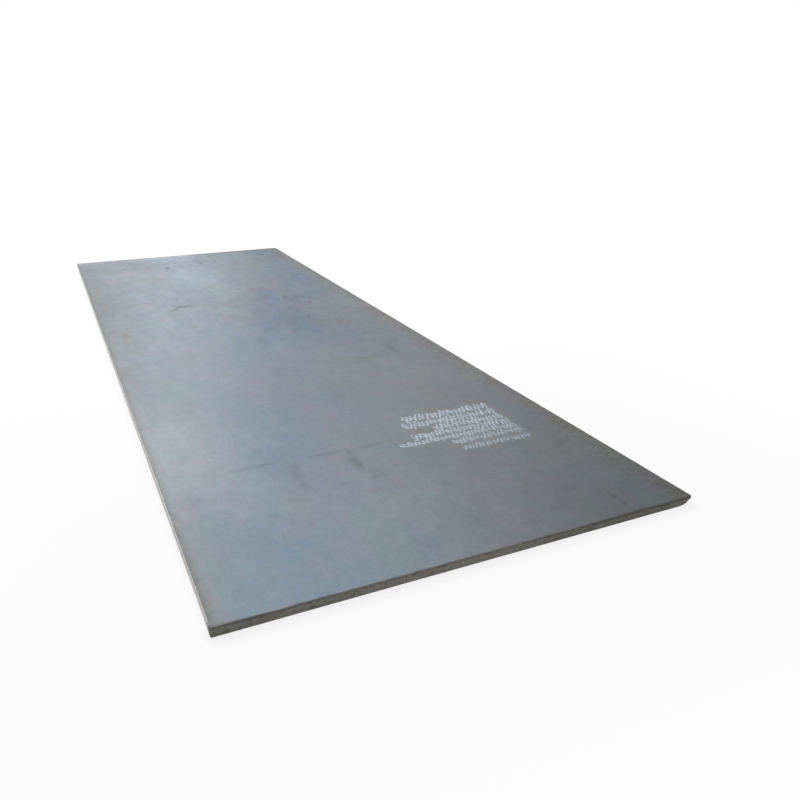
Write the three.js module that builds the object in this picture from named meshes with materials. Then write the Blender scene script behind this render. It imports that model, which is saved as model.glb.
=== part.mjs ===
// A hot-rolled steel plate, cropped on all four sides by a plate shear and lying flat.
//
// Millimetres. X runs across the width, Y along the length and Z up through the thickness.
// The origin is the centre of the underside.

import * as THREE from "three";
import { toCreasedNormals } from "three/addons/utils/BufferGeometryUtils.js";

// ---- Driving dimensions -------------------------------------------------------------------

// Overall size, measured over the burnished land, where the plate is widest and longest.
const plateWidth = 2000;
const plateLength = 6000;
const plateThickness = 38;

// Rollover: the shear blade drags the top edge down before it bites.
const rolloverWidth = 4.5;
const rolloverDepth = 3;

// Burnished land: the upright band that the blade rubs smooth as it goes through.
const burnishHeight = 7;

// Fracture face: the torn band below the land. It leans in towards the lower blade by the
// setback, and dips behind a straight line by the hollow.
const fractureSetback = 1.8;
const fractureHollow = 0.25;

// Lower edge: the burr is knocked off to a small chamfer.
const lowerChamfer = 1;

// Corners in plan: the radius of the flat of the top face.
const topCornerRadius = 4;

// ---- Facets -------------------------------------------------------------------------------

const curveDivisions = 5;
const cornerDivisions = 7;
const creaseAngle = THREE.MathUtils.degToRad(28);

// ---- Section of the sheared edge ----------------------------------------------------------

// The section is drawn in a plane square to the edge. Its x is the distance outwards from the
// line where the top face stops being flat, and its y is the height above the underside. It
// runs from the rim of the top face down to the rim of the underside.
function edgeSection() {
  const landTop = plateThickness - rolloverDepth;
  const landBottom = landTop - burnishHeight;
  const fractureFoot = rolloverWidth - fractureSetback;
  // A quadratic curve dips half as far as its control point.
  const controlX = rolloverWidth - fractureSetback / 2 - 2 * fractureHollow;
  const controlY = (landBottom + lowerChamfer) / 2;

  const section = new THREE.Path();
  section.moveTo(0, plateThickness);
  section.absellipse(0, landTop, rolloverWidth, rolloverDepth, Math.PI / 2, 0, true);
  section.lineTo(rolloverWidth, landBottom);
  section.quadraticCurveTo(controlX, controlY, fractureFoot, lowerChamfer);
  section.lineTo(fractureFoot - lowerChamfer, 0);
  return section.getPoints(curveDivisions);
}

// ---- Outline of the plate in plan ---------------------------------------------------------

// Every ring of the loft turns its corners about the same four centres, so the section keeps
// its shape round the corners. The rings differ only in the radius of those corners.
function outlineRing(outwards, height) {
  const radius = topCornerRadius + outwards;
  const centreX = plateWidth / 2 - rolloverWidth - topCornerRadius;
  const centreY = plateLength / 2 - rolloverWidth - topCornerRadius;
  const corners = [
    [centreX, centreY],
    [-centreX, centreY],
    [-centreX, -centreY],
    [centreX, -centreY],
  ];
  return corners.flatMap(([x, y], quarter) => {
    const start = (quarter * Math.PI) / 2;
    const corner = new THREE.Path();
    corner.absarc(x, y, radius, start, start + Math.PI / 2, false);
    return corner.getSpacedPoints(cornerDivisions).map((p) => new THREE.Vector3(p.x, p.y, height));
  });
}

// ---- Loft ---------------------------------------------------------------------------------

// Joins a stack of rings, all with the same number of points, into one closed skin. The rings
// run counter-clockwise seen from above, and the first ring is the top one.
function loftClosed(rings) {
  const points = rings.flat();
  const perRing = rings[0].length;
  const faces = [];

  for (let ring = 0; ring < rings.length - 1; ring++) {
    for (let i = 0; i < perRing; i++) {
      const next = (i + 1) % perRing;
      const upper = ring * perRing;
      const lower = upper + perRing;
      faces.push(upper + i, lower + i, lower + next);
      faces.push(upper + i, lower + next, upper + next);
    }
  }

  const bottomStart = (rings.length - 1) * perRing;
  for (const [a, b, c] of THREE.ShapeUtils.triangulateShape(rings[0], [])) {
    faces.push(a, b, c);
    faces.push(bottomStart + a, bottomStart + c, bottomStart + b);
  }

  const skin = new THREE.BufferGeometry().setFromPoints(points);
  skin.setIndex(faces);
  return skin;
}

// ---- The plate ----------------------------------------------------------------------------

function makeSteelPlate() {
  const rings = edgeSection().map((p) => outlineRing(p.x, p.y));
  const geometry = toCreasedNormals(loftClosed(rings), creaseAngle);

  // Blue-grey mill scale: a thin, half-glossy oxide skin on bare steel.
  const millScale = new THREE.MeshStandardMaterial({
    color: 0x7b848c,
    roughness: 0.48,
    metalness: 0.55,
  });

  const mesh = new THREE.Mesh(geometry, millScale);
  mesh.name = "steel_plate";
  return mesh;
}

const plate = new THREE.Group();
plate.name = "hot_rolled_steel_plate";
plate.add(makeSteelPlate());

export default plate;
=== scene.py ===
import math
import random

import bmesh
import bpy
from mathutils import Matrix, Vector, noise


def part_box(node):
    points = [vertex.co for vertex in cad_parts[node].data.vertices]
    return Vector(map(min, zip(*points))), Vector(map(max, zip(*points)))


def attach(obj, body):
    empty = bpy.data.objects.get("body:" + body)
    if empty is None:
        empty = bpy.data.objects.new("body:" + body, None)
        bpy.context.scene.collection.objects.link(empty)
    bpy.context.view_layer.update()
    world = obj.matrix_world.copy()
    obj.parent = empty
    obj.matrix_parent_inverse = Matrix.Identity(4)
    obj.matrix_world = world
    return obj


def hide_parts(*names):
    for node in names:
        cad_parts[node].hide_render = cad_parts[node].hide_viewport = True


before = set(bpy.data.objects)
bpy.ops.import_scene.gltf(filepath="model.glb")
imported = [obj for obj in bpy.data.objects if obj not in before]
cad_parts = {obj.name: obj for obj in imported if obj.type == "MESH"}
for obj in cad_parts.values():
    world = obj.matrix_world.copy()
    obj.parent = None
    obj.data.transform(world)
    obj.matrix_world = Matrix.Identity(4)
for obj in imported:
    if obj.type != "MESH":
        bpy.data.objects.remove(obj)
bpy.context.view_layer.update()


# ---- The plate ----------------------------------------------------------------------------
# One slab of hot-rolled steel, 2 x 6 m and 38 mm thick, with the blue-grey mill scale still on
# its flats. A shear cropped it on four sides: it rolled the upper rim over, rubbed a burnished
# land below it and tore the rest of the face.

# The mesh. The CAD skin is cut finer along its rim, so that the lip, the torn face and the
# knocks of forks and chains are real relief. All of it lies inside the CAD skin.
plate_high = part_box("steel_plate")[1]
half_width = plate_high.x
half_length = plate_high.y
top = plate_high.z
lip_depth = 0.003            # the shear drags the top corner down this far
land_depth = 0.007           # the bright land that the blade rubs below it
land_top = top - lip_depth
land_foot = land_top - land_depth
chamfer_top = 0.001          # the filed-off burr along the underside
tear_strip = 0.004           # each strip of the torn face is higher than this
row_slack = 0.001            # how far a row of the rim may lie off its height
corner_run = 0.02            # the rim turns each corner within this far of it
rim_step = 0.005             # spacing of the columns along the rim
land_cuts = 3                # extra rows up the land
tear_cuts = 1                # extra rows in each strip of the torn face
flat_margin = 0.0036         # the flats stay level from this far inside their rim
most_of = 0.9                # an edge longer than this share of a run is the whole run
weld_gap = 0.00002           # the skin's loose triangles are joined at their corners
flat_angle = math.radians(0.5)    # and made one face where they turn by less than this
crease_angle = math.radians(30)   # edges that turn by more are left sharp

plate_mesh = bmesh.new()
plate_mesh.from_mesh(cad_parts["steel_plate"].data)
bmesh.ops.remove_doubles(plate_mesh, verts=plate_mesh.verts, dist=weld_gap)
bmesh.ops.dissolve_limit(
    plate_mesh, angle_limit=flat_angle, verts=plate_mesh.verts, edges=plate_mesh.edges
)

# The two flats are taken off while the skin of the rim is cut finer, and put back after it.
flats = [face for face in plate_mesh.faces if face.calc_area() > half_width * half_length]
bmesh.ops.delete(plate_mesh, geom=flats, context="FACES_ONLY")


def edges_where(test):
    return [edge for edge in plate_mesh.edges if test(edge.verts[0].co, edge.verts[1].co)]


land_uprights = edges_where(
    lambda a, b: abs(a.z - b.z) > most_of * land_depth and min(a.z, b.z) > land_foot - row_slack
)
bmesh.ops.subdivide_edges(plate_mesh, edges=land_uprights, cuts=land_cuts)
tear_uprights = edges_where(
    lambda a, b: abs(a.z - b.z) > tear_strip and max(a.z, b.z) < land_foot + row_slack
)
bmesh.ops.subdivide_edges(plate_mesh, edges=tear_uprights, cuts=tear_cuts)
for axis, side in ((1, 2 * half_length), (0, 2 * half_width)):
    long_edges = edges_where(lambda a, b: abs(a[axis] - b[axis]) > most_of * side)
    bmesh.ops.subdivide_edges(
        plate_mesh, edges=long_edges, cuts=round(side / rim_step) - 1, use_grid_fill=True
    )
rim = list(plate_mesh.verts)
open_rims = [edge for edge in plate_mesh.edges if edge.is_boundary]
flats = bmesh.ops.edgeloop_fill(plate_mesh, edges=open_rims)["faces"]
for flat in flats:
    bmesh.ops.inset_region(plate_mesh, faces=[flat], thickness=flat_margin, use_even_offset=True)
for face in plate_mesh.faces:
    face.smooth = face not in flats
    face.material_index = 1 if chamfer_top / 2 < face.calc_center_median().z < land_top else 0


def outward(spot):
    """The level direction that leads straight out of the plate from a spot on its rim."""
    core_x = max(corner_run - half_width, min(half_width - corner_run, spot.x))
    core_y = max(corner_run - half_length, min(half_length - corner_run, spot.y))
    return Vector((spot.x - core_x, spot.y - core_y, 0)).normalized()


def peak(value, low, middle, high):
    """Rises from nothing at low to one at middle, and falls to nothing at high."""
    rise = (value - low) / (middle - low) if value < middle else (high - value) / (high - middle)
    return max(0.0, min(1.0, rise))


# The blade's line wavers, the land ends in a ragged line, and the torn face below it is drawn
# into upright ribs about 17 mm apart with finer tearing between them. The waves are counted
# per metre.
blade_waver = 0.0008
waver_waves = 1.7
lip_sag = 0.0008
sag_waves = 9
land_rag = 0.0020
rag_waves = 45
fine_rag_waves = 130
rib_depth = 0.0006
rib_waves = (60, 60, 9)      # across, along and up
tear_depth = 0.0003
tear_waves = (190, 190, 70)
for vert in rim:
    spot = vert.co.copy()
    level = Vector((spot.x, spot.y, 0))
    out = outward(spot)
    inward = blade_waver * (0.5 + 0.5 * noise.noise(level * waver_waves))
    tearing = peak(spot.z, chamfer_top, 0.6 * land_foot, land_foot + row_slack)
    ribs, grain = (
        0.5 + 0.5 * noise.noise(Vector([length * wave for length, wave in zip(spot, waves)]))
        for waves in (rib_waves, tear_waves)
    )
    inward += tearing * (rib_depth * ribs + tear_depth * grain)
    rag = noise.noise(level * rag_waves) + 0.5 * noise.noise(level * fine_rag_waves)
    near_land_foot = peak(spot.z, 0.3 * land_foot, land_foot, land_top)
    on_lip = peak(spot.z, land_foot, land_top, top)
    sag = on_lip * lip_sag * (0.5 + 0.5 * noise.noise(level * sag_waves))
    vert.co = spot - out * inward
    vert.co.z = spot.z + near_land_foot * land_rag * rag - sag

# Knocks along the upper rim: small seeded ones all round, and three listed ones on the near edge.
# Each is (place on the rim, reach along it, depth).
knock_draw = random.Random(38)
knock_count = 34
knock_reaches = (0.008, 0.022)
knock_depths = (0.0006, 0.002)
knock_drop = 0.6             # how far a knock drives the rim down, as a share of its depth
knocks = [
    (Vector((0.64, -half_length, top)), 0.030, 0.0024),
    (Vector((0.71, -half_length, top)), 0.020, 0.0018),
    (Vector((-0.62, -half_length, top)), 0.024, 0.0016),
]
for _ in range(knock_count):
    along = knock_draw.uniform(-1, 1)
    if knock_draw.random() < half_length / (half_length + half_width):
        place = Vector((half_width * knock_draw.choice((-1, 1)), half_length * along, top))
    else:
        place = Vector((half_width * along, half_length * knock_draw.choice((-1, 1)), top))
    knocks.append((place, knock_draw.uniform(*knock_reaches), knock_draw.uniform(*knock_depths)))
for vert in rim:
    for place, reach, depth in knocks:
        away = (vert.co - place).length / reach
        if away < 1:
            push = depth * (1 - away * away) ** 2
            vert.co += Vector((0, 0, -knock_drop * push)) - outward(vert.co) * push

# The near right corner has been dropped on its lower edge, which is bent in at a slant.
broken_corner = Vector((half_width, -half_length, 0))
break_reach = 0.075
break_depth = 0.016
for vert in plate_mesh.verts:
    away = Vector((vert.co.x - broken_corner.x, vert.co.y - broken_corner.y)).length / break_reach
    if away < 1 and vert.co.z < land_foot:
        slant = 1 - vert.co.z / land_foot
        vert.co -= outward(broken_corner) * break_depth * slant * (1 - away) ** 2

plate_data = bpy.data.meshes.new("rolled_plate")
plate_mesh.to_mesh(plate_data)
plate_mesh.free()
plate = bpy.data.objects.new("rolled_plate", plate_data)
bpy.context.collection.objects.link(plate)
plate_data.set_sharp_from_angle(angle=crease_angle)


# What the plate's two materials are put together with: nodes, and groups that each put out one
# mask.
def add_node(tree, kind, **settings):
    made = tree.nodes.new(kind)
    for name, value in settings.items():
        setattr(made, name, value)
    return made


def feed(tree, made, values):
    """Gives each input of a node a number, a vector, a colour or another node's output."""
    for name, value in values.items():
        if isinstance(value, bpy.types.NodeSocket):
            tree.links.new(value, made.inputs[name])
        else:
            made.inputs[name].default_value = value


def math_of(tree, operation, *values):
    made = add_node(tree, "ShaderNodeMath", operation=operation)
    feed(tree, made, dict(enumerate(values)))
    return made.outputs["Value"]


def times(tree, product, *factors):
    """All of the values multiplied together."""
    for factor in factors:
        product = math_of(tree, "MULTIPLY", product, factor)
    return product


def vector_of(tree, operation, *values):
    made = add_node(tree, "ShaderNodeVectorMath", operation=operation)
    feed(tree, made, dict(enumerate(values)))
    return made.outputs["Value" if operation in ("LENGTH", "DOT_PRODUCT") else "Vector"]


def scaled(tree, vector, factor):
    """A vector or a colour, made longer or lighter by a factor."""
    made = add_node(tree, "ShaderNodeVectorMath", operation="SCALE")
    feed(tree, made, {"Vector": vector, "Scale": factor})
    return made.outputs["Vector"]


def step(tree, value, low, high):
    """Nothing at low, one at high, and a smooth rise between them."""
    made = add_node(tree, "ShaderNodeMapRange", interpolation_type="SMOOTHSTEP", clamp=False)
    feed(tree, made, {"Value": value, "From Min": low, "From Max": high})
    return made.outputs["Result"]


def ranged(tree, value, low, high):
    """A mask that runs from nothing to one is turned into a value from low to high."""
    made = add_node(tree, "ShaderNodeMapRange", clamp=False)
    feed(tree, made, {"Value": value, "To Min": low, "To Max": high})
    return made.outputs["Result"]


def blend(tree, mask, below, above):
    """Covers one colour with another where the mask is one."""
    made = add_node(tree, "ShaderNodeMix", data_type="RGBA")
    feed(tree, made, {0: mask, 6: below, 7: above})
    return made.outputs[2]


def grain_of(tree, vector, scale, detail=3.0, roughness=0.55):
    """A noise of so many waves per metre: its outputs, of which Fac is a value round a half."""
    made = add_node(tree, "ShaderNodeTexNoise")
    feed(tree, made, {"Vector": vector, "Scale": scale, "Detail": detail, "Roughness": roughness})
    return made.outputs


def new_mask(name, inputs):
    """An empty node group that puts out a mask: its tree, its inputs by name, and its end."""
    group = bpy.data.node_groups.new(name, "ShaderNodeTree")
    kinds = {float: "NodeSocketFloat", tuple: "NodeSocketVector"}
    for label, value in inputs.items():
        kind = kinds[type(value)]
        socket = group.interface.new_socket(label, in_out="INPUT", socket_type=kind)
        socket.default_value = value
    group.interface.new_socket("Mask", in_out="OUTPUT", socket_type="NodeSocketFloat")
    return group, add_node(group, "NodeGroupInput").outputs, add_node(group, "NodeGroupOutput")


def mask_from(tree, group, **values):
    """Places such a group in a material with its own values, and hands on its mask."""
    made = add_node(tree, "ShaderNodeGroup", node_tree=group)
    feed(tree, made, {name.replace("_", " ").title(): value for name, value in values.items()})
    return made.outputs["Mask"]


def new_finish(name, specular):
    """A new material: itself, its tree, its shader, and the place of a spot, whole and by axis."""
    material = bpy.data.materials.new(name)
    material.use_nodes = True
    tree = material.node_tree
    shader = tree.nodes["Principled BSDF"]
    shader.inputs["Specular IOR Level"].default_value = specular
    place = add_node(tree, "ShaderNodeTexCoord").outputs["Object"]
    axes = add_node(tree, "ShaderNodeSeparateXYZ")
    feed(tree, axes, {"Vector": place})
    return material, tree, shader, place, axes.outputs


origin = (0.0, 0.0, 0.0)
unstretched = (1.0, 1.0, 1.0)

# Patches: a cloudy mask, stretched as the surface was worked.
patches, given, result = new_mask(
    "patches",
    {
        "Place": origin, "Stretch": unstretched, "Scale": 1.0, "Detail": 4.0, "Low": 0.4,
        "High": 0.6,
    },
)
stretched = vector_of(patches, "MULTIPLY", given["Place"], given["Stretch"])
cloud = grain_of(patches, stretched, given["Scale"], given["Detail"])["Fac"]
feed(patches, result, {"Mask": step(patches, cloud, given["Low"], given["High"])})

# Lone cloud: one patch at a chosen spot, with a ragged rim.
cloud_core = 0.15            # the cloud is whole within this share of its reach
lone_cloud, given, result = new_mask(
    "lone_cloud", {"Place": origin, "Centre": origin, "Reach": unstretched}
)
from_centre = vector_of(lone_cloud, "SUBTRACT", given["Place"], given["Centre"])
from_centre = vector_of(lone_cloud, "DIVIDE", from_centre, given["Reach"])
from_centre = vector_of(lone_cloud, "LENGTH", from_centre)
ragged = grain_of(lone_cloud, given["Place"], 5.0, 5.0, 0.6)["Fac"]
ragged = math_of(lone_cloud, "SUBTRACT", ragged, 0.5)
from_centre = math_of(lone_cloud, "ADD", from_centre, ragged)
feed(lone_cloud, result, {"Mask": step(lone_cloud, from_centre, 1.0, cloud_core)})

# Drawn line: a rub or a scratch from one spot to another, soft at its sides and fading out
# towards both ends. The fades are in shares of its length.
start_fade = (-0.08, 0.30)
end_fade = (1.08, 0.55)
drawn_line, given, result = new_mask(
    "drawn_line",
    {
        "Place": origin, "Start": origin, "End": (1.0, 0.0, 0.0), "Half Width": 0.005,
        "Softness": 0.005,
    },
)
from_start = vector_of(drawn_line, "SUBTRACT", given["Place"], given["Start"])
whole = vector_of(drawn_line, "SUBTRACT", given["End"], given["Start"])
share = math_of(
    drawn_line, "DIVIDE",
    vector_of(drawn_line, "DOT_PRODUCT", from_start, whole),
    vector_of(drawn_line, "DOT_PRODUCT", whole, whole),
)
nearest = scaled(drawn_line, whole, share)
distance = vector_of(drawn_line, "LENGTH", vector_of(drawn_line, "SUBTRACT", from_start, nearest))
fading = times(drawn_line, step(drawn_line, share, *start_fade), step(drawn_line, share, *end_fade))
narrowed = times(drawn_line, given["Half Width"], fading)
outer = math_of(drawn_line, "ADD", narrowed, given["Softness"])
line = times(drawn_line, step(drawn_line, distance, outer, narrowed), fading)
feed(drawn_line, result, {"Mask": line})

# Tally row: plain upright strokes side by side, each a little off its place, slant and length.
stroke_half = 0.0020         # half the width of a stroke's full paint
stroke_blur = 0.0058         # how softly the sprayed paint ends
overspray = 0.03             # the thin paint between the strokes
draws_apart = 97.0           # so far apart in the white noise are the draws of two rows
stray = 0.24                 # how far a stroke's middle may stray, in pitches
lean_most = 0.55             # how far one may lean over its row's height, in pitches
uneven = 0.34                # how far its ends may stray, in row heights
lowest_start = -0.06         # the lowest that a stroke starts, in row heights
lowest_end = 0.74            # and the lowest that one ends
faintest = 0.65              # the thinnest paint of a stroke
end_blur = (-0.03, 0.10)     # how softly a stroke ends, in row heights
row_blur = (-0.004, 0.008)   # how softly a row is cut off left and right
tally_row, given, result = new_mask(
    "tally_row",
    {
        "Place": origin, "Left": 0.0, "Right": 1.0, "Foot": 0.0, "Height": 0.06, "Pitch": 0.03,
        "Slant": 0.2, "Seed": 0.0,
    },
)
axes = add_node(tally_row, "ShaderNodeSeparateXYZ")
feed(tally_row, axes, {"Vector": given["Place"]})
height_up = math_of(tally_row, "SUBTRACT", axes.outputs["Y"], given["Foot"])
share_up = math_of(tally_row, "DIVIDE", height_up, given["Height"])
from_left = math_of(tally_row, "SUBTRACT", axes.outputs["X"], given["Left"])
across = math_of(tally_row, "SUBTRACT", from_left, times(tally_row, height_up, given["Slant"]))
in_pitches = math_of(tally_row, "DIVIDE", across, given["Pitch"])
stroke_number = math_of(tally_row, "FLOOR", in_pitches)
stroke_number = math_of(tally_row, "MULTIPLY_ADD", given["Seed"], draws_apart, stroke_number)
stroke_draw = add_node(tally_row, "ShaderNodeTexWhiteNoise", noise_dimensions="1D")
feed(tally_row, stroke_draw, {"W": stroke_number})
chances = add_node(tally_row, "ShaderNodeSeparateColor")
feed(tally_row, chances, {"Color": stroke_draw.outputs["Color"]})
red, green, blue = (chances.outputs[name] for name in ("Red", "Green", "Blue"))
lean = math_of(tally_row, "MULTIPLY_ADD", blue, 2 * lean_most, -lean_most)
lean = times(tally_row, lean, math_of(tally_row, "SUBTRACT", share_up, 0.5))
stroke_middle = math_of(tally_row, "MULTIPLY_ADD", red, stray, 0.5 - stray / 2)
stroke_middle = math_of(tally_row, "ADD", stroke_middle, lean)
off_middle = math_of(tally_row, "SUBTRACT", math_of(tally_row, "FRACT", in_pitches), stroke_middle)
off_middle = math_of(tally_row, "ABSOLUTE", times(tally_row, off_middle, given["Pitch"]))
stroke = step(tally_row, off_middle, stroke_half + stroke_blur, stroke_half)
stroke_start = math_of(tally_row, "MULTIPLY_ADD", green, uneven, lowest_start)
stroke_end = math_of(tally_row, "MULTIPLY_ADD", blue, uneven, lowest_end)
past_start = step(tally_row, math_of(tally_row, "SUBTRACT", share_up, stroke_start), *end_blur)
before_end = step(tally_row, math_of(tally_row, "SUBTRACT", stroke_end, share_up), *end_blur)
stroke = times(tally_row, stroke, times(tally_row, past_start, before_end))
paint = math_of(tally_row, "MULTIPLY_ADD", red, 1 - faintest, faintest)
stroke = times(tally_row, stroke, paint)
row_length = math_of(tally_row, "SUBTRACT", given["Right"], given["Left"])
past_left = step(tally_row, from_left, *row_blur)
before_right = step(tally_row, math_of(tally_row, "SUBTRACT", row_length, from_left), *row_blur)
row_body = times(
    tally_row, step(tally_row, share_up, -0.10, 0.20), step(tally_row, share_up, 1.10, 0.80)
)
stroke = math_of(tally_row, "MAXIMUM", stroke, times(tally_row, row_body, overspray))
stroke = times(tally_row, stroke, times(tally_row, past_left, before_right))
feed(tally_row, result, {"Mask": stroke})

# The mill scale, the skin of oxide that the plate leaves the hot mill with, on both flats and
# over the lip. It is smooth and half-bright, clouded with faint colours along the rolling,
# browner where the rim has cooled first and rusted, and rubbed by chains and other plates.
scale_blue = (0.082, 0.115, 0.153, 1)
scale_deep = (0.055, 0.098, 0.156, 1)
scale_grey = (0.117, 0.1235, 0.134, 1)
scale_lavender = (0.121, 0.117, 0.153, 1)
scale_teal = (0.090, 0.131, 0.138, 1)
scale_olive = (0.116, 0.122, 0.108, 1)
scale_brown = (0.115, 0.107, 0.096, 1)
rust_streak = (0.150, 0.105, 0.085, 1)
rub_dark = (0.044, 0.052, 0.066, 1)
fleck_dark = (0.060, 0.064, 0.074, 1)
fleck_light = (0.190, 0.200, 0.215, 1)
tally_paint = (0.54, 0.62, 0.73, 1)
lip_highlight = (0.170, 0.176, 0.180, 1)
worn_corner = (0.070, 0.073, 0.068, 1)
bare_steel_and_light = (0.540, 0.534, 0.520, 1)
along_rolling = (1.4, 0.70, 1.0)  # patches are drawn out along the plate
grain_middle = 0.49          # the middle of the grains' values
deep_cover = 0.90            # how fully the deeper blue covers what is below it
dark_fleck_cover = 0.45
light_fleck_cover = 0.28
tally_cover = 0.71
haze_cover = 0.12
corner_reach = 1.25          # the near right corner is darker out to here
corner_light = 0.66          # and has this share of the light at its point

# Places along x and y are in metres from the plate's middle, and scales in waves per metre.
scale_material, tree, scale_shader, place, axes = new_finish("blue_mill_scale", 0.4)
x, y = axes["X"], axes["Y"]
on_top = math_of(tree, "GREATER_THAN", axes["Z"], top / 2)
wander = grain_of(tree, place, 2.2, 2.0)["Fac"]
rag = grain_of(tree, place, 28.0, 3.0)


def right_of_line(slope, start, sway):
    """How far a spot lies to the right of a line that slants and sways along the plate."""
    line = math_of(tree, "MULTIPLY_ADD", y, slope, start)
    past_line = math_of(tree, "SUBTRACT", x, line)
    swaying = math_of(tree, "MULTIPLY_ADD", wander, sway, -sway / 2)
    return math_of(tree, "ADD", past_line, swaying)


def cloud_at(cloud_x, cloud_y, across_reach, along_reach):
    centre, reach = (cloud_x, cloud_y, top), (across_reach, along_reach, 1.0)
    return mask_from(tree, lone_cloud, place=place, centre=centre, reach=reach)


def rolled_patches(shifts, **values):
    """Patches drawn out along the rolling, and shifted so that no two sets are alike."""
    shifted = vector_of(tree, "ADD", place, shifts)
    return mask_from(tree, patches, place=shifted, stretch=along_rolling, **values)


def shaken_place(across_shake, along_shake):
    """A spot's place, shaken by the fine grain, so that what is drawn there gets ragged sides."""
    shake = vector_of(tree, "SUBTRACT", rag["Color"], (0.5, 0.5, 0.5))
    return vector_of(tree, "MULTIPLY_ADD", shake, (across_shake, along_shake, 0.0), place)


# Towards the far end the scale is more strongly mottled.
towards_far = step(tree, y, -2.2, 1.2)

# The blue is deepest down the middle. It turns to grey towards the right and the near end, and
# along the left border. This is partly the scale's own tint and partly a painted reflection: the
# blue stands in for the cool light that the scale reflects from the left, and the grey for its
# duller reflection to the right.
greyness = step(tree, right_of_line(0.26, 0.67, 0.5), -0.18, 0.22)
left_greyness = step(tree, x, -0.86, -1.00)
color = blend(tree, math_of(tree, "MAXIMUM", greyness, left_greyness), scale_blue, scale_grey)

# Past a slanted line in the far half it is a deeper blue.
deepness = times(
    tree,
    step(tree, right_of_line(0.25, -0.03, 0.3), -0.03, 0.06),
    step(tree, y, -1.2, 0.3),
    step(tree, x, 0.98, 0.80),
)
color = blend(tree, times(tree, deepness, deep_cover), color, scale_deep)

# Broad clouds of one colour: (colour, x, y, reach across, reach along, strength)
for tint, cloud_x, cloud_y, across_reach, along_reach, strength in (
    (scale_lavender, -0.70, 2.60, 0.80, 1.30, 0.55),
    (scale_grey, 0.72, 0.22, 0.32, 0.70, 0.62),
    (scale_grey, 0.28, -0.95, 0.30, 1.00, 0.56),
    (scale_grey, -0.08, -2.05, 0.24, 0.80, 0.46),
    (scale_grey, -0.30, -2.75, 0.24, 0.50, 0.36),
    (scale_deep, -0.20, -0.60, 0.28, 0.90, 0.50),
    (scale_deep, -0.44, -1.80, 0.26, 0.90, 0.38),
    (scale_deep, -0.58, -2.55, 0.22, 0.50, 0.26),
    (scale_grey, -0.84, -1.70, 0.36, 1.10, 0.66),
):
    mask = cloud_at(cloud_x, cloud_y, across_reach, along_reach)
    color = blend(tree, times(tree, mask, strength), color, tint)

# Faint interference colours: (colour, scale, low, high, strength at the near end, strength at
# the far end)
for tint, scale, low, high, near_strength, far_strength in (
    (scale_lavender, 1.9, 0.48, 0.66, 0.36, 0.50),
    (scale_teal, 2.6, 0.48, 0.66, 0.36, 0.50),
    (scale_olive, 3.4, 0.56, 0.70, 0.16, 0.22),
    (scale_lavender, 8.0, 0.48, 0.66, 0.36, 0.30),
    (scale_teal, 10.0, 0.48, 0.66, 0.36, 0.30),
    (scale_lavender, 24.0, 0.50, 0.66, 0.14, 0.06),
    (scale_teal, 30.0, 0.50, 0.66, 0.14, 0.06),
):
    shifts = (scale, 3 * scale, 5 * scale)
    mask = rolled_patches(shifts, scale=scale, detail=2.2, low=low, high=high)
    strength = ranged(tree, towards_far, near_strength, far_strength)
    color = blend(tree, times(tree, mask, strength), color, tint)

# Lightness: broad clouds, a drift along the rolling, hand-sized mottling, finger-sized
# blotches, a fine crust, and the streaks of the rolls. Each has a strength at the near end and
# one at the far end.
broad = grain_of(tree, place, 1.1, 2.0)["Fac"]
drawn_out = vector_of(tree, "MULTIPLY", place, (1.25, 0.75, 1.0))
mottle = grain_of(tree, place, 9.0, 6.0, 0.68)["Fac"]
blotch = grain_of(tree, drawn_out, 38.0, 4.0, 0.65)["Fac"]
crust = grain_of(tree, drawn_out, 140.0, 4.0, 0.7)["Fac"]
drift = grain_of(tree, drawn_out, 13.0, 1.0, 0.5)["Fac"]
rolled = vector_of(tree, "MULTIPLY", place, (24.0, 5.0, 1.0))
streaks = grain_of(tree, rolled, 1.0, 5.0, 0.65)["Fac"]
lightness = 1.0
for part, near_strength, far_strength in (
    (broad, 0.20, 0.20),
    (drift, 0.08, 0.52),
    (mottle, 0.42, 0.80),
    (blotch, 0.38, 0.52),
    (crust, 0.34, 0.36),
    (streaks, 0.16, 0.50),
):
    strength = ranged(tree, towards_far, near_strength, far_strength)
    swing = math_of(tree, "SUBTRACT", part, grain_middle)
    lightness = times(tree, lightness, math_of(tree, "MULTIPLY_ADD", swing, strength, 1.0))
lightness = times(tree, lightness, ranged(tree, deepness, 1.0, 0.96))

# Lighter and darker clouds, partly the scale's own uneven tone and partly painted sheen and painted
# shade, where the plate reflects more or less light: (x, y, reach across, reach along, lightening)
for cloud_x, cloud_y, across_reach, along_reach, lighter in (
    (-0.08, 2.95, 0.45, 0.50, 0.36),
    (-0.05, 2.00, 0.40, 0.80, 0.26),
    (-0.14, 2.05, 0.22, 0.42, 0.12),
    (-0.85, 1.50, 0.50, 1.60, -0.09),
    (-0.80, 2.62, 0.45, 0.55, -0.24),
    (-0.98, 1.00, 0.36, 2.60, -0.32),
    (-1.00, 1.60, 0.24, 2.00, -0.16),
    (-0.45, 2.55, 0.22, 0.35, -0.14),
    (0.06, 1.50, 0.16, 0.60, 0.10),
    (0.45, 1.30, 0.22, 0.60, -0.09),
    (-1.00, -1.70, 0.36, 0.95, 0.22),
    (-0.72, -1.80, 0.30, 0.80, 0.15),
    (0.85, 2.70, 0.30, 0.50, -0.22),
    (0.20, 0.50, 0.40, 1.30, -0.10),
    (0.85, 0.35, 0.30, 0.60, 0.07),
    (0.40, -2.75, 0.85, 0.70, 0.18),
    (-0.99, 3.04, 0.34, 0.20, 0.90),
    (-0.32, 3.04, 0.70, 0.18, 0.50),
):
    mask = cloud_at(cloud_x, cloud_y, across_reach, along_reach)
    lightness = times(tree, lightness, ranged(tree, mask, 1.0, 1.0 + lighter))
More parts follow.
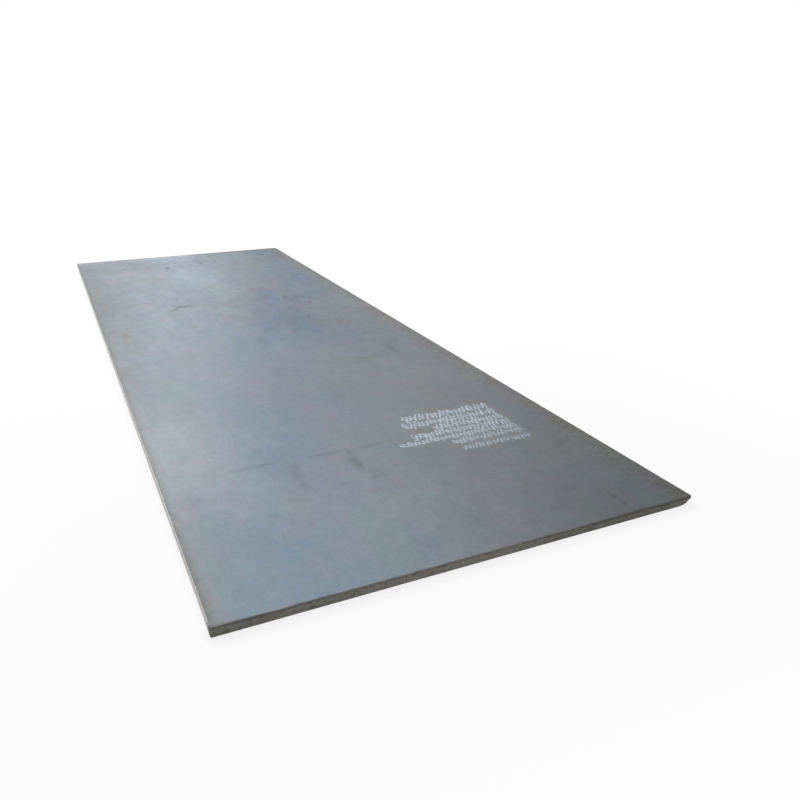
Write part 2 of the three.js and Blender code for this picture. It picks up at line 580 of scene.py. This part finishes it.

# Painted shade: the near right corner is painted darker, where the scale reflects the least light.
from_corner = vector_of(tree, "SUBTRACT", place, (half_width, -half_length, top))
from_corner = vector_of(tree, "LENGTH", vector_of(tree, "MULTIPLY", from_corner, (1.0, 0.8, 1.0)))
corner_shade = step(tree, from_corner, corner_reach, 0.0)
lightness = times(tree, lightness, ranged(tree, corner_shade, 1.0, corner_light))
color = scaled(tree, color, lightness)

# Browned borders: (distance from the left, right, far or near side, reach, strength)
browned = 0.0
for side, reach, strength in (
    (math_of(tree, "ADD", x, half_width), 0.040, 0.50),
    (math_of(tree, "SUBTRACT", half_width, x), 0.165, 0.82),
    (math_of(tree, "SUBTRACT", half_length, y), 0.085, 0.75),
    (math_of(tree, "ADD", y, half_length), 0.014, 0.30),
):
    ragged = math_of(tree, "MULTIPLY_ADD", rag["Fac"], 1.4 * reach, -0.7 * reach)
    ragged = math_of(tree, "ADD", side, ragged)
    mask = times(tree, step(tree, ragged, reach, 0.1 * reach), strength)
    browned = math_of(tree, "MAXIMUM", browned, mask)
specks = step(tree, grain_of(tree, place, 46.0, 4.0, 0.7)["Fac"], 0.36, 0.66)
specks = ranged(tree, specks, 0.72, 1.24)
border_color = blend(tree, step(tree, wander, 0.42, 0.58), scale_brown, scale_olive)
for tint, scale, strength in ((scale_lavender, 7.0, 0.55), (rust_streak, 12.0, 0.30)):
    mask = rolled_patches((scale, 2 * scale, 3 * scale), scale=scale, low=0.50, high=0.62)
    border_color = blend(tree, times(tree, mask, strength), border_color, tint)
border_color = scaled(tree, border_color, times(tree, lightness, specks))
color = blend(tree, browned, color, border_color)

# Flecks where scale has come off or dust has stuck.
dark_flecks = step(tree, grain_of(tree, place, 85.0, 3.0, 0.7)["Fac"], 0.64, 0.74)
light_flecks = step(tree, grain_of(tree, place, 120.0, 3.0, 0.7)["Fac"], 0.66, 0.78)
color = blend(tree, times(tree, dark_flecks, dark_fleck_cover), color, fleck_dark)
color = blend(tree, times(tree, light_flecks, light_fleck_cover), color, fleck_light)

# Rubs of chains and slings, scratches and knocks: each runs from one spot to another.
# (start x, start y, end x, end y, half width, softness, strength)
rubs = [
    (-0.71, -1.985, -0.57, -1.985, 0.003, 0.018, 0.34),
    (-0.60, -1.982, -0.46, -1.980, 0.003, 0.016, 0.42),
    (-0.36, -1.985, -0.14, -1.990, 0.003, 0.016, 0.42),
    (-0.24, -1.988, -0.16, -1.990, 0.003, 0.014, 0.30),
    (-0.10, -1.990, 0.06, -1.985, 0.003, 0.018, 0.36),
    (-0.36, -2.31, -0.20, -2.29, 0.002, 0.018, 0.20),
    (-0.16, -2.285, -0.04, -2.285, 0.003, 0.024, 0.20),
    (0.02, -2.25, 0.10, -2.25, 0.002, 0.024, 0.10),
    (-0.62, -2.75, -0.25, -2.76, 0.001, 0.014, 0.08),
    (-0.140, -1.97, -0.145, -2.06, 0.004, 0.016, 0.44),
    (-0.150, -2.05, -0.155, -2.24, 0.008, 0.030, 0.58),
    (-0.135, -2.20, -0.10, -2.27, 0.002, 0.026, 0.24),
    (-0.41, -2.00, -0.44, -2.22, 0.004, 0.040, 0.28),
    (-0.44, -2.19, -0.425, -2.30, 0.004, 0.026, 0.26),
    (0.702, -2.80, 0.697, -3.02, 0.004, 0.014, 0.60),
    (0.52, -2.745, 0.68, -2.705, 0.006, 0.034, 0.28),
    (-0.09, -2.785, -0.05, -2.755, 0.003, 0.014, 0.26),
    (0.105, -2.490, 0.135, -2.455, 0.003, 0.014, 0.26),
    (0.76, -2.365, 0.90, -2.31, 0.006, 0.030, 0.28),
    (-0.485, 0.79, -0.37, 0.95, 0.006, 0.024, 0.48),
    (-0.425, 0.945, -0.285, 0.93, 0.018, 0.036, 0.92),
    (-0.34, 0.93, -0.235, 0.905, 0.010, 0.030, 0.50),
    (-0.225, 2.49, -0.235, 2.32, 0.008, 0.022, 0.62),
    (-0.22, 2.38, -0.205, 2.18, 0.004, 0.030, 0.26),
    (0.100, 2.58, 0.107, 2.42, 0.006, 0.024, 0.52),
    (0.085, 2.46, 0.09, 2.90, 0.004, 0.036, 0.24),
    (0.245, 2.76, 0.245, 3.02, 0.004, 0.030, 0.40),
    (-0.43, 2.48, -0.35, 2.52, 0.020, 0.060, 0.40),
    (-0.68, 2.87, -0.38, 2.66, 0.012, 0.060, 0.22),
    (0.28, 1.56, 0.295, 1.38, 0.004, 0.026, 0.20),
    (0.00, 1.01, 0.015, 0.86, 0.004, 0.026, 0.30),
    (0.095, 1.02, 0.105, 0.88, 0.002, 0.026, 0.20),
    (0.07, 0.82, 0.08, 0.69, 0.002, 0.026, 0.18),
    (0.690, -0.55, 0.678, -0.89, 0.007, 0.030, 0.38),
    (0.51, -0.44, 0.71, -0.505, 0.003, 0.026, 0.22),
    (0.39, -0.775, 0.58, -0.817, 0.003, 0.026, 0.20),
]
# Short bars in two ranks, from a rack that the plate stood in: (x, y, length, strength)
bar_lean = 0.04              # how far a bar runs to the right over its length
bar_half = 0.007
bar_softness = 0.022
for bar_x, bar_y, bar_length, strength in (
    (0.430, 0.80, 0.17, 0.440), (0.445, 0.71, 0.12, 0.320), (0.505, 0.78, 0.17, 0.440),
    (0.535, 0.76, 0.17, 0.400), (0.570, 0.76, 0.16, 0.400), (0.500, 0.63, 0.13, 0.272),
    (0.535, 0.61, 0.13, 0.320), (0.560, 0.60, 0.12, 0.320), (0.620, 0.71, 0.14, 0.272),
    (0.330, 0.23, 0.14, 0.320), (0.355, 0.22, 0.14, 0.240), (0.385, 0.20, 0.14, 0.336),
    (0.415, 0.18, 0.15, 0.440), (0.220, -0.08, 0.10, 0.272), (0.290, -0.02, 0.12, 0.240),
):
    bar_end = (bar_x + bar_lean, bar_y + bar_length)
    rubs.append((bar_x, bar_y, *bar_end, bar_half, bar_softness, strength))
shaken = shaken_place(0.036, 0.036)
flat_place = vector_of(tree, "MULTIPLY", shaken, (1.0, 1.0, 0.0))


def strongest_of(lines):
    """The mask of many drawn lines together: where they cross, the strongest shows."""
    together = 0.0
    for x1, y1, x2, y2, half, softness, strength in lines:
        line = mask_from(
            tree, drawn_line,
            place=flat_place, start=(x1, y1, 0.0), end=(x2, y2, 0.0), half_width=half,
            softness=softness,
        )
        together = math_of(tree, "MAXIMUM", together, times(tree, line, strength))
    return together


rubbed = strongest_of(rubs)
patchy = math_of(tree, "MULTIPLY_ADD", step(tree, blotch, 0.32, 0.56), 0.6, 0.4)
rubbed = times(tree, rubbed, patchy, on_top)
color = blend(tree, rubbed, color, rub_dark)

# Thin runs of rust, two near the left border and one along the far end. The columns are those
# of the rubs.
rusted = strongest_of([
    (-0.892, -0.02, -0.838, 0.58, 0.006, 0.030, 0.44),
    (-0.920, 0.98, -0.893, 1.38, 0.004, 0.030, 0.22),
    (0.050, 2.970, 1.150, 2.975, 0.020, 0.030, 0.60),
])
rusted = times(tree, rusted, on_top, step(tree, mottle, 0.32, 0.58))
color = blend(tree, rusted, color, rust_streak)

# Rings that a puddle left as it dried, on the right of the middle.
ring_centre = (0.52, -0.70, top)
ring_waves = 150.0           # radians per metre, for rings about 42 mm apart
ring_depth = 0.06
from_ring = vector_of(tree, "LENGTH", vector_of(tree, "SUBTRACT", shaken, ring_centre))
rings = math_of(tree, "SINE", times(tree, from_ring, ring_waves))
rings = times(tree, rings, step(tree, from_ring, 0.19, 0.05))
color = scaled(tree, color, math_of(tree, "MULTIPLY_ADD", rings, ring_depth, 1.0))

# The sprayed tally: seven rows of plain strokes, each with a shorter set of strokes that cross
# them, in a haze of the same paint. (left, right, foot, height, pitch)
tally_rows = [
    (0.240, 0.740, -1.835, 0.090, 0.0235),
    (0.205, 0.740, -1.915, 0.092, 0.0225),
    (0.340, 0.740, -1.980, 0.082, 0.0220),
    (0.195, 0.740, -2.040, 0.078, 0.0215),
    (0.100, 0.740, -2.098, 0.068, 0.0205),
    (0.350, 0.740, -2.160, 0.070, 0.0195),
    (0.360, 0.740, -2.228, 0.056, 0.0195),
]
# (slant, lift and height as shares of the row's height, spread of the pitch, first seed)
stroke_sets = ((0.30, 0.0, 1.0, 1.0, 0), (-1.0, 0.2, 0.62, 1.3, 20))
sprayed = shaken_place(0.016, 0.020)
tally = 0.0
for number, (left, right, foot, height, pitch) in enumerate(tally_rows):
    for slant, lift, share, spread, first_seed in stroke_sets:
        row = mask_from(
            tree, tally_row,
            place=sprayed, left=left, right=right, foot=foot + lift * height,
            height=share * height, pitch=spread * pitch, slant=slant,
            seed=float(first_seed + number),
        )
        tally = math_of(tree, "MAXIMUM", tally, row)
worn = math_of(tree, "MULTIPLY_ADD", step(tree, blotch, 0.30, 0.50), 0.75, 0.25)
tally = times(tree, tally, worn, on_top)
tally = times(tree, tally, ranged(tree, step(tree, y, -2.20, -1.95), 0.62, 1.0))
haze_x = times(tree, step(tree, x, 0.30, 0.46), step(tree, x, 0.78, 0.72))
haze_y = times(tree, step(tree, y, -2.25, -2.17), step(tree, y, -1.72, -1.80))
haze = times(tree, times(tree, haze_x, haze_y), on_top)
haze = times(tree, haze, ranged(tree, blotch, 0.0, haze_cover))
paint_cover = math_of(tree, "MAXIMUM", times(tree, tally, tally_cover), haze)
color = blend(tree, paint_cover, color, tally_paint)

# A painted highlight along the lip of the near end, where the rolled lip would catch the light,
# fading out to the right. On the left side the lip is painted as bright bare steel, a painted light
# that stands in for the light it catches from the left.
near_lip_highlight = times(tree, step(tree, y, 0.009 - half_length, 0.006 - half_length), on_top)
near_lip_highlight = times(tree, near_lip_highlight, ranged(tree, step(tree, rag["Fac"], 0.36, 0.60), 0.15, 0.75))
near_lip_highlight = times(tree, near_lip_highlight, ranged(tree, step(tree, x, 0.35, 0.60), 1.0, 0.15))
color = blend(tree, near_lip_highlight, color, lip_highlight)
left_lip = times(tree, step(tree, x, 0.0065 - half_width, 0.0040 - half_width), 0.45)
left_lip = times(tree, left_lip, step(tree, y, -half_length, 0.06 - half_length))
color = blend(tree, left_lip, color, bare_steel_and_light)

# The near left corner is worn to dull steel over a hand's breadth.
from_end = math_of(tree, "ADD", y, half_length)
wedge = math_of(tree, "MULTIPLY_ADD", x, -0.09, -0.072)
corner_wear = step(tree, math_of(tree, "SUBTRACT", from_end, wedge), 0.004, -0.003)
corner_wear = times(tree, corner_wear, on_top, 0.80)
color = blend(tree, corner_wear, color, worn_corner)

# The gloss is broken by the mottling, and gone under rust, rubs and paint.
gloss_loss = math_of(tree, "MAXIMUM", times(tree, browned, 0.4), times(tree, rusted, 0.5))
gloss_loss = math_of(tree, "MAXIMUM", gloss_loss, times(tree, rubbed, 0.4))
gloss_loss = math_of(tree, "MAXIMUM", paint_cover, gloss_loss)
roughness = math_of(
    tree, "ADD", ranged(tree, mottle, 0.37, 0.51), ranged(tree, streaks, -0.02, 0.02)
)
roughness = math_of(tree, "ADD", roughness, times(tree, gloss_loss, 0.32))
gloss_loss = math_of(tree, "SUBTRACT", gloss_loss, left_lip)
metal = ranged(tree, gloss_loss, 0.57, 0.05)
relief = math_of(tree, "ADD", times(tree, crust, 0.35), mottle)
scale_bump = add_node(tree, "ShaderNodeBump")
feed(tree, scale_bump, {"Strength": 0.5, "Distance": 0.0006, "Height": relief})
feed(tree, scale_shader, {
    "Base Color": color, "Roughness": roughness, "Metallic": metal,
    "Normal": scale_bump.outputs["Normal"],
})

# The sheared edge, bare steel as the blade left it: a burnished land at the top, then the torn
# face with its upright ribs. It has since rusted thinly and picked up the dirt of the yard.
land_steel = (0.098, 0.101, 0.097, 1)
tear_steel = (0.196, 0.202, 0.186, 1)
edge_rust = (0.178, 0.148, 0.138, 1)
edge_olive = (0.150, 0.160, 0.118, 1)
edge_dirt = (0.062, 0.060, 0.056, 1)
land_line_rag = 0.006        # how far the foot of the land wanders up and down

edge_material, tree, edge_shader, place, axes = new_finish("sheared_edge", 0.3)
x, y, height = axes["X"], axes["Y"], axes["Z"]
upright = vector_of(tree, "MULTIPLY", place, (1.0, 1.0, 0.12))
level = vector_of(tree, "MULTIPLY", place, (1.0, 1.0, 0.0))
ribs = grain_of(tree, upright, 90.0, 3.0, 0.6)["Fac"]
rag = grain_of(tree, level, 55.0, 3.0, 0.6)["Fac"]
tearing = grain_of(tree, place, 320.0, 4.0, 0.7)["Fac"]
land_line = math_of(tree, "MULTIPLY_ADD", rag, land_line_rag, land_foot - land_line_rag / 2)
on_land = step(tree, math_of(tree, "SUBTRACT", height, land_line), -0.0006, 0.0006)
color = blend(tree, on_land, tear_steel, land_steel)
rust = mask_from(
    tree, patches, place=place, stretch=(1.0, 1.0, 2.0), scale=7.0, low=0.46, high=0.60
)
color = blend(tree, times(tree, rust, 0.6), color, edge_rust)
shifted = vector_of(tree, "ADD", place, (3.0, 7.0, 1.0))
mossy = mask_from(
    tree, patches, place=shifted, stretch=(1.0, 1.0, 2.0), scale=9.0, low=0.48, high=0.62
)
color = blend(tree, times(tree, mossy, 0.6), color, edge_olive)
dirt = mask_from(
    tree, patches, place=place, stretch=(1.0, 1.0, 1.6), scale=34.0, low=0.52, high=0.66
)
color = blend(tree, times(tree, dirt, 0.55), color, edge_dirt)
knocked = mask_from(
    tree, patches, place=place, stretch=unstretched, scale=22.0, low=0.54, high=0.64
)
knocked = times(tree, knocked, step(tree, height, land_foot - 0.004, land_foot + 0.002))
color = blend(tree, times(tree, knocked, 0.65), color, edge_dirt)
lightness = times(tree, ranged(tree, ribs, 0.70, 1.30), ranged(tree, tearing, 0.75, 1.25))
color = scaled(tree, color, lightness)

# Painted light and shade along the near end: the edge is painted lightest in the middle and darker
# to the right, and its upper part to the right is painted darker still, a painted shade below the
# lip.
middle_light = times(tree, step(tree, x, -0.90, -0.50), step(tree, x, 0.60, 0.0))
color = scaled(tree, color, ranged(tree, middle_light, 1.0, 1.14))
color = scaled(tree, color, ranged(tree, step(tree, x, 0.1, 0.5), 1.0, 0.86))
shaded_top = times(tree, step(tree, height, 0.020, 0.030), step(tree, x, 0.30, 0.60))
color = scaled(tree, color, ranged(tree, shaded_top, 1.0, 0.74))

# The left side is bare steel, painted bright as a painted light that stands in for the light it
# catches from the left, strongest near the foot and weaker towards the lip.
left_side = step(tree, x, 0.010 - half_width, 0.006 - half_width)
left_side = times(tree, left_side, ranged(tree, step(tree, height, 0.008, land_top), 1.0, 0.56))
left_side = times(tree, left_side, step(tree, y, -half_length, 0.07 - half_length))
rib_grain = ranged(tree, lightness, 0.30, 1.0)
color = blend(tree, left_side, color, scaled(tree, bare_steel_and_light[:3], rib_grain))
worked = times(tree, on_land, math_of(tree, "SUBTRACT", 1.0, times(tree, rust, 0.8)))
dullness = ranged(tree, worked, 0.75, 0.50)
dullness = math_of(tree, "SUBTRACT", dullness, times(tree, left_side, 0.30))
metal = math_of(tree, "MAXIMUM", ranged(tree, worked, 0.10, 0.45), times(tree, left_side, 0.95))
torn = math_of(tree, "SUBTRACT", 1.0, times(tree, on_land, 0.8))
relief = times(tree, math_of(tree, "ADD", tearing, ribs), torn)
edge_bump = add_node(tree, "ShaderNodeBump")
feed(tree, edge_bump, {"Strength": 0.6, "Distance": 0.0008, "Height": relief})
feed(tree, edge_shader, {
    "Base Color": color, "Roughness": dullness, "Metallic": metal,
    "Normal": edge_bump.outputs["Normal"],
})

plate_data.materials.append(scale_material)
plate_data.materials.append(edge_material)
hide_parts("steel_plate")
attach(plate, "root")


# ---- Floor and backdrop -------------------------------------------------------------------
# A white studio floor that runs out to a white backdrop with no line between them. Both read
# as white where the camera or a gloss sees them, and the floor keeps the plate's soft shadow.

floor_half = 60              # half the side of the floor, well past the view
shadow_share = 0.22          # how much of the white near the plate can be shaded
shadow_near = 0.10           # the shading is whole this far out from the plate
shadow_far = 1.50            # and gone this far out
wall_light = 0.52            # what the white walls give a matt surface, beside the softboxes

floor_mesh = bmesh.new()
bmesh.ops.create_grid(floor_mesh, x_segments=1, y_segments=1, size=floor_half)
floor_data = bpy.data.meshes.new("studio_floor")
floor_mesh.to_mesh(floor_data)
floor_mesh.free()
floor = bpy.data.objects.new("studio_floor", floor_data)
bpy.context.collection.objects.link(floor)


def seen_directly(tree):
    """One where a ray is the camera's own, a gloss or light through glass, else nothing."""
    path = add_node(tree, "ShaderNodeLightPath")
    glossy = math_of(tree, "MAXIMUM", path.outputs["Is Camera Ray"], path.outputs["Is Glossy Ray"])
    return math_of(tree, "MAXIMUM", glossy, path.outputs["Is Transmission Ray"])


floor_material = bpy.data.materials.new("white_floor")
floor_material.use_nodes = True
tree = floor_material.node_tree
floor_matte = tree.nodes["Principled BSDF"]
floor_matte.inputs["Base Color"].default_value = (1, 1, 1, 1)
floor_matte.inputs["Roughness"].default_value = 1.0
floor_matte.inputs["Specular IOR Level"].default_value = 0.0
floor_glow = add_node(tree, "ShaderNodeEmission")
floor_place = add_node(tree, "ShaderNodeTexCoord").outputs["Object"]
past_plate = vector_of(tree, "ABSOLUTE", floor_place)
past_plate = vector_of(tree, "SUBTRACT", past_plate, (half_width, half_length, 0.0))
past_plate = vector_of(tree, "LENGTH", vector_of(tree, "MAXIMUM", past_plate, origin))
shaded = times(tree, step(tree, past_plate, shadow_far, shadow_near), shadow_share)
glowing = times(tree, seen_directly(tree), math_of(tree, "SUBTRACT", 1.0, shaded))
floor_mix = add_node(tree, "ShaderNodeMixShader")
feed(tree, floor_mix, {
    0: glowing, 1: floor_matte.outputs["BSDF"], 2: floor_glow.outputs["Emission"],
})
feed(tree, tree.nodes["Material Output"], {"Surface": floor_mix.outputs["Shader"]})
floor_data.materials.append(floor_material)

world = bpy.data.worlds.new("white_studio")
bpy.context.scene.world = world
world.use_nodes = True
tree = world.node_tree
wall = tree.nodes["Background"]
wall_strength = ranged(tree, seen_directly(tree), wall_light, 1.0)
feed(tree, wall, {"Color": (1, 1, 1, 1), "Strength": wall_strength})


# ---- Soft lights --------------------------------------------------------------------------
# Three softboxes that face the plate's middle. A large one stands past the far left end, as an
# open hall door would, and lies as a long sheen down the left of the plate. A low one stands
# off the left side, and a smaller one hangs over the far half.


def hang_softbox(name, centre, width, height, watts, color):
    light = bpy.data.lights.new(name, "AREA")
    light.shape = "RECTANGLE"
    light.size = width
    light.size_y = height
    light.energy = watts
    light.color = color
    softbox = bpy.data.objects.new(name, light)
    bpy.context.collection.objects.link(softbox)
    facing = (-Vector(centre)).to_track_quat("-Z", "Y").to_matrix().to_4x4()
    softbox.matrix_world = Matrix.Translation(centre) @ facing
    softbox.visible_camera = False


daylight = (0.95, 0.98, 1.0)
lamp_white = (1.0, 0.99, 0.97)
ceiling_white = (1.0, 0.99, 0.98)
hang_softbox("door_softbox", (-2.7, 12.4, 8.2), 12, 8, 935, daylight)
hang_softbox("side_softbox", (-9.0, -1.0, 2.2), 9, 2.5, 130, lamp_white)
hang_softbox("overhead_softbox", (1.3, 2.35, 5.75), 2.6, 5, 159, ceiling_white)


# ---- Camera -------------------------------------------------------------------------------
# At eye height beyond the plate's near left corner, looking down its length through a slightly
# wide lens.

camera_place = (-1.2828, -4.9825, 1.5814)
camera_turn = math.radians(-25.31)
camera_tilt = math.radians(90 - 22.02)
camera_roll = math.radians(0.17)
camera_data = bpy.data.cameras.new("camera")
camera_data.sensor_width = 36
camera_data.lens = 34.07
camera = bpy.data.objects.new("camera", camera_data)
bpy.context.collection.objects.link(camera)
camera.matrix_world = (
    Matrix.Translation(camera_place)
    @ Matrix.Rotation(camera_turn, 4, "Z")
    @ Matrix.Rotation(camera_tilt, 4, "X")
    @ Matrix.Rotation(camera_roll, 4, "Z")
)
bpy.context.scene.camera = camera
bpy.context.scene.view_settings.view_transform = "Standard"
